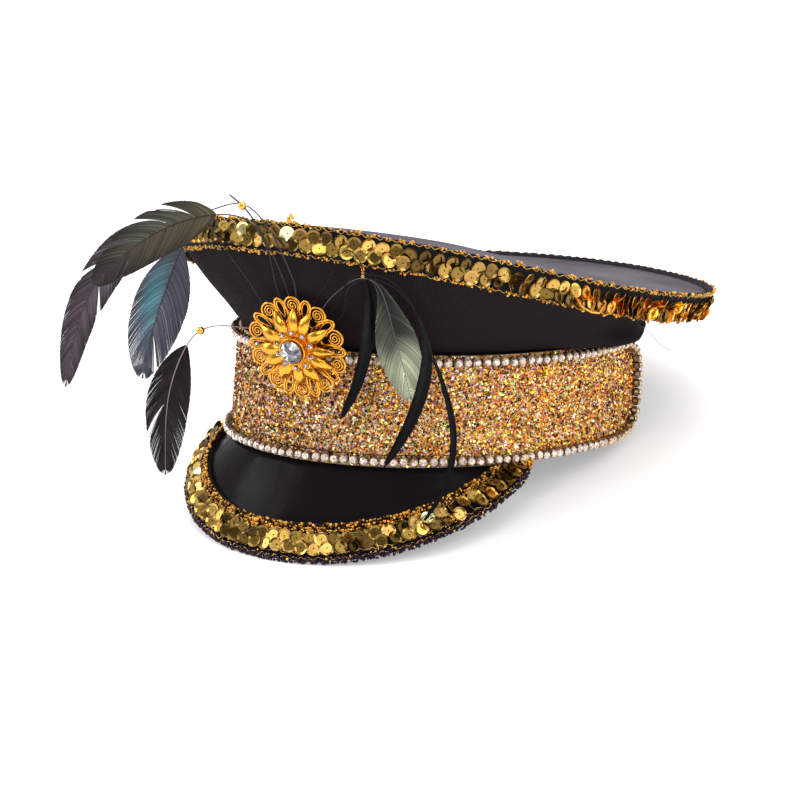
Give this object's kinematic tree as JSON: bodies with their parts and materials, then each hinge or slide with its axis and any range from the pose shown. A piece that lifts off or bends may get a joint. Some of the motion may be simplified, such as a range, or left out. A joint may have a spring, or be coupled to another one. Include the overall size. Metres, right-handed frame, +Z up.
{
  "type": "captain's hat",
  "caption": "Peaked captain's hat: wide tilted black crown with gold sequin edging, glitter band outlined in crystals, patent peak, flower brooch and feather spray.",
  "frame": {"origin": "middle of the underside: centre of the bounding box in X and Y, on the surface that the hat rests on", "axes": "+Z up with the hat resting by itself; the peak faces -Y; the wearer's left is +X"},
  "size_m": [0.2284, 0.2762, 0.1485],
  "materials": {
    "black_satin": "black satin with a soft purple-grey sheen and a fine weave",
    "black_band": "matt black woven band",
    "champagne_glitter": "chunky champagne and gold glitter with white, pink, purple and green specks",
    "crystal": "clear faceted rhinestones with foiled backs in pale cups",
    "sequin_gold": "two rows of overlapping cupped gold sequins and gold bead loops on black tape",
    "black_patent": "smooth black patent with soft reflections",
    "brooch_gold": "warm satin gold stamping",
    "olive_feather": "olive-brown iridescent feather",
    "grey_feather": "purplish grey feather",
    "teal_feather": "blue-teal iridescent feather",
    "green_feather": "translucent grey-green feather",
    "black_feather": "glossy black feather"
  },
  "bodies": {
    "root": {"brooch_crystal": "crystal", "brooch_filigree": "brooch_gold", "brooch_petals": "brooch_gold", "brooch_setting": "brooch_gold", "brooch_star": "brooch_gold", "brooch_stone_01": "crystal", "brooch_stone_02": "crystal", "brooch_stone_03": "crystal", "brooch_stone_04": "crystal", "brooch_stone_05": "crystal", "brooch_stone_06": "crystal", "brooch_stone_07": "crystal", "brooch_stone_08": "crystal", "brooch_stone_09": "crystal", "brooch_stone_10": "crystal", "crown_side": "black_satin", "crown_top": "black_satin", "crystal_chain": "crystal", "feather_1": "olive_feather", "feather_2": "grey_feather", "feather_3": "teal_feather", "feather_4": "black_feather", "feather_5": "black_feather", "feather_6": "green_feather", "feather_7": "black_feather", "feather_8": "black_feather", "glitter_band": "champagne_glitter", "head_band": "black_band", "peak": "black_patent", "peak_trim": "sequin_gold", "rim_trim": "sequin_gold", "wire_bead": "brooch_gold"}
  },
  "joints": []
}
